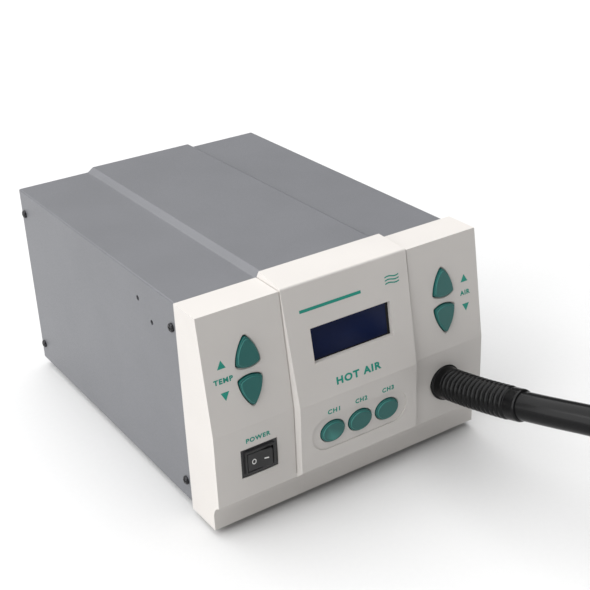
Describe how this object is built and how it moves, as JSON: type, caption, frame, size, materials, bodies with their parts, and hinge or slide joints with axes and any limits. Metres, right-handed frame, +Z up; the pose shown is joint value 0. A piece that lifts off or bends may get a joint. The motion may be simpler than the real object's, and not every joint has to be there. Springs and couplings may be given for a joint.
{
  "type": "hot air station",
  "caption": "Hot air rework station with a grey steel case, white front panel, teal keys, a display window and a stored air hose with its handle.",
  "frame": {"origin": "on the bench under the middle of the case", "axes": "X across the case, +Y from the front panel to the rear panel, +Z up"},
  "size_m": [0.2698, 0.6625, 0.138],
  "materials": {
    "case_paint": "fine-textured blue-grey powder coat",
    "bezel_plastic": "off-white moulded plastic",
    "key_plastic": "teal moulded plastic",
    "black_plastic": "black moulded plastic",
    "black_rubber": "glossy black rubber",
    "window_glass": "dark blue tinted display window",
    "steel_sheet": "zinc-plated sheet steel",
    "screw_steel": "bright plated steel",
    "black_screw": "black oxide",
    "nozzle_steel": "stainless steel",
    "ceramic_core": "off-white ceramic",
    "board_green": "green solder mask",
    "core_steel": "laminated core steel",
    "coil_tape": "amber insulation tape",
    "fan_white": "white moulded plastic",
    "sink_aluminium": "extruded aluminium",
    "cap_sleeve": "dark blue sleeve",
    "brass_part": "plated brass"
  },
  "bodies": {
    "root": {"front_bezel": "bezel_plastic", "top_cover": "case_paint", "base_chassis": "steel_sheet", "rear_panel": "case_paint", "cover_screws": "black_screw", "rear_panel_screws": "black_screw", "bezel_screws": "screw_steel", "rubber_feet": "black_rubber", "foot_screws": "screw_steel", "holder_nuts": "black_screw", "display_window": "window_glass", "lcd_module": "black_plastic", "control_board": "board_green", "control_board_screws": "screw_steel", "channel_board": "board_green", "channel_board_screws": "screw_steel", "setting_switches": "black_plastic", "channel_switches": "black_plastic", "switch_housing": "black_plastic", "switch_terminals": "brass_part", "hose_gland": "black_plastic", "gland_nut": "screw_steel", "hose_boot": "black_rubber", "air_hose": "black_rubber", "hose_coil": "black_rubber", "handle_tail": "black_rubber", "handle_body": "black_plastic", "handle_collar": "black_plastic", "heater_tube": "nozzle_steel", "heater_core": "ceramic_core", "nozzle": "nozzle_steel", "blower_base": "black_plastic", "blower_lid": "black_plastic", "blower_motor": "steel_sheet", "blower_mounts": "black_rubber", "air_duct": "black_plastic", "transformer_core": "core_steel", "transformer_coil": "coil_tape", "transformer_bracket": "steel_sheet", "power_board": "board_green", "board_spacers": "brass_part", "heat_sink": "sink_aluminium", "triac": "black_plastic", "capacitors": "cap_sleeve", "terminal_block": "board_green", "inlet_socket": "black_plastic", "inlet_pins": "brass_part", "inlet_screws": "black_screw", "earth_stud": "brass_part"},
    "temp_up": {"temp_up_button": "key_plastic"},
    "temp_down": {"temp_down_button": "key_plastic"},
    "air_up": {"air_up_button": "key_plastic"},
    "air_down": {"air_down_button": "key_plastic"},
    "channel_1": {"channel_1_button": "key_plastic"},
    "channel_2": {"channel_2_button": "key_plastic"},
    "channel_3": {"channel_3_button": "key_plastic"},
    "rocker": {"switch_rocker": "black_plastic"},
    "fan": {"blower_wheel": "fan_white"},
    "fuse_tray": {"fuse_drawer": "black_plastic", "mains_fuse": "ceramic_core"}
  },
  "joints": [
    {"name": "temp_up_press", "type": "slide", "parent": "root", "child": "temp_up", "axis": [0, 0.9908, -0.1355], "range_m": [0, 0.0008], "stiffness_N_per_m": 200},
    {"name": "temp_down_press", "type": "slide", "parent": "root", "child": "temp_down", "axis": [0, 0.9908, -0.1355], "range_m": [0, 0.0008], "stiffness_N_per_m": 200},
    {"name": "air_up_press", "type": "slide", "parent": "root", "child": "air_up", "axis": [0, 0.9908, -0.1355], "range_m": [0, 0.0008], "stiffness_N_per_m": 200},
    {"name": "air_down_press", "type": "slide", "parent": "root", "child": "air_down", "axis": [0, 0.9908, -0.1355], "range_m": [0, 0.0008], "stiffness_N_per_m": 200},
    {"name": "channel_1_press", "type": "slide", "parent": "root", "child": "channel_1", "axis": [0, 1, 0], "range_m": [0, 0.0008], "stiffness_N_per_m": 200},
    {"name": "channel_2_press", "type": "slide", "parent": "root", "child": "channel_2", "axis": [0, 1, 0], "range_m": [0, 0.0008], "stiffness_N_per_m": 200},
    {"name": "channel_3_press", "type": "slide", "parent": "root", "child": "channel_3", "axis": [0, 1, 0], "range_m": [0, 0.0008], "stiffness_N_per_m": 200},
    {"name": "rocker_tip", "type": "hinge", "parent": "root", "child": "rocker", "pos_m": [-0.0663, -0.1219, 0.0443], "axis": [0, 0, 1], "range_deg": [0, 14]},
    {"name": "fan_spin", "type": "hinge", "parent": "root", "child": "fan", "pos_m": [0.036, 0, 0.0342], "axis": [0, 0, 1], "continuous": true},
    {"name": "fuse_tray_slide", "type": "slide", "parent": "root", "child": "fuse_tray", "axis": [0, 1, 0], "range_m": [0, 0.016]}
  ]
}
